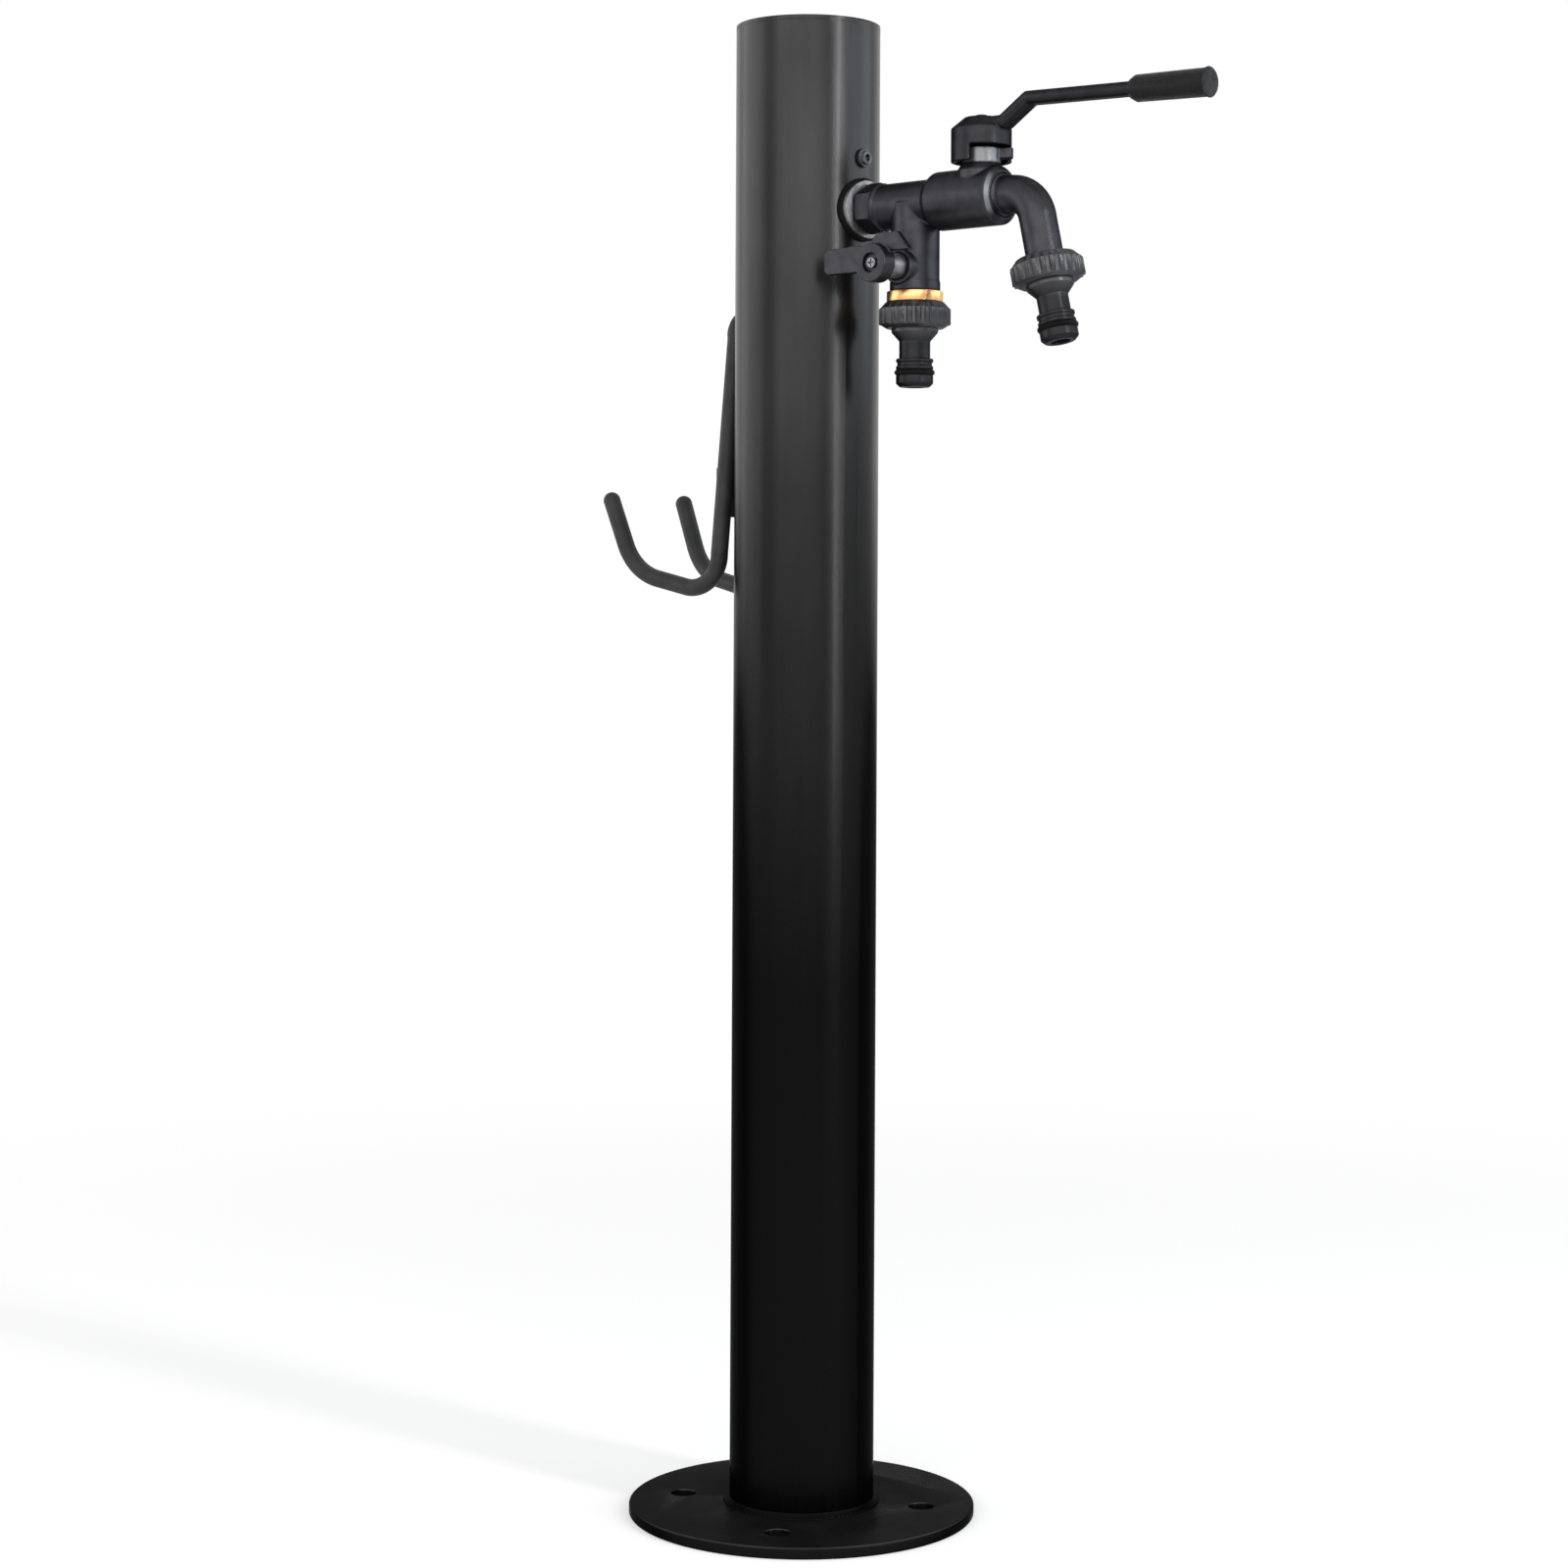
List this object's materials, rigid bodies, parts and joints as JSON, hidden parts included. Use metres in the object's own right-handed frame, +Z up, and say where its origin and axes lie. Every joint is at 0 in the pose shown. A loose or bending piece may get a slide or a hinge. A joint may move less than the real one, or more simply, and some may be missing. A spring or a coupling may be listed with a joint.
{
  "type": "garden standpipe",
  "caption": "Garden standpipe: round post on a bolt-down plate, two-way ball tap with lever and wing handle, quick hose connectors and a double hose hanger.",
  "frame": {"origin": "centre of the base plate's underside, on the ground", "axes": "+Z up along the post, +X out along the tap, -X towards the hose hanger"},
  "size_m": [0.3742, 0.182, 0.784],
  "materials": {
    "post_black": "satin black powder coat",
    "tap_black": "satin black coated brass",
    "grip_black": "moulded grip, fine grain",
    "connector_black": "moulded plastic, fine grain",
    "rubber": "black sealing rubber",
    "hanger_grey": "dark grey powder coat",
    "screw_black": "blackened steel",
    "steel": "brushed stainless steel",
    "chrome": "chromed ball",
    "brass": "bare machined brass",
    "seat_white": "white seat plastic",
    "pipe_white": "white composite pipe"
  },
  "bodies": {
    "standpipe": {"base_plate": "post_black", "post_tube": "post_black", "foot_weld": "post_black", "top_cap": "post_black", "tap_grommet": "rubber", "tap_washer": "steel", "inlet_lock_nut": "tap_black", "tee_body": "tap_black", "valve_body": "tap_black", "spout_elbow": "tap_black", "upper_gland": "brass", "upper_stem_oring": "rubber", "upper_seats": "seat_white", "lower_gland": "steel", "lower_stem_oring": "rubber", "lower_seats": "seat_white", "outlet_nipple": "brass", "lower_hose_connector": "connector_black", "lower_connector_washer": "rubber", "lower_nose_oring": "rubber", "upper_hose_connector": "connector_black", "upper_connector_washer": "rubber", "upper_nose_oring": "rubber", "wall_elbow": "brass", "elbow_fixing_screws": "screw_black", "elbow_seal": "rubber", "riser_top_nut": "brass", "riser_pipe": "pipe_white", "riser_bottom_connector": "brass", "hanger_rod": "hanger_grey", "hanger_plate": "hanger_grey", "hanger_washer": "hanger_grey", "hanger_screws": "screw_black", "hanger_rivet_nuts": "steel"},
    "upper_lever": {"lever_handle": "tap_black", "lever_grip": "grip_black", "lever_screw": "tap_black", "upper_stem": "steel", "upper_ball": "chrome"},
    "lower_lever": {"wing_lever": "tap_black", "wing_screw": "steel", "lower_stem": "steel", "lower_ball": "chrome"}
  },
  "joints": [
    {"name": "upper_lever_turn", "type": "hinge", "parent": "standpipe", "child": "upper_lever", "pos_m": [0.11605, 0, 0.6845], "axis": [0, 0, 1], "range_deg": [0, 90]},
    {"name": "wing_lever_turn", "type": "hinge", "parent": "standpipe", "child": "lower_lever", "pos_m": [0.07335, 0, 0.6515], "axis": [0, -1, 0], "range_deg": [0, 90]}
  ]
}
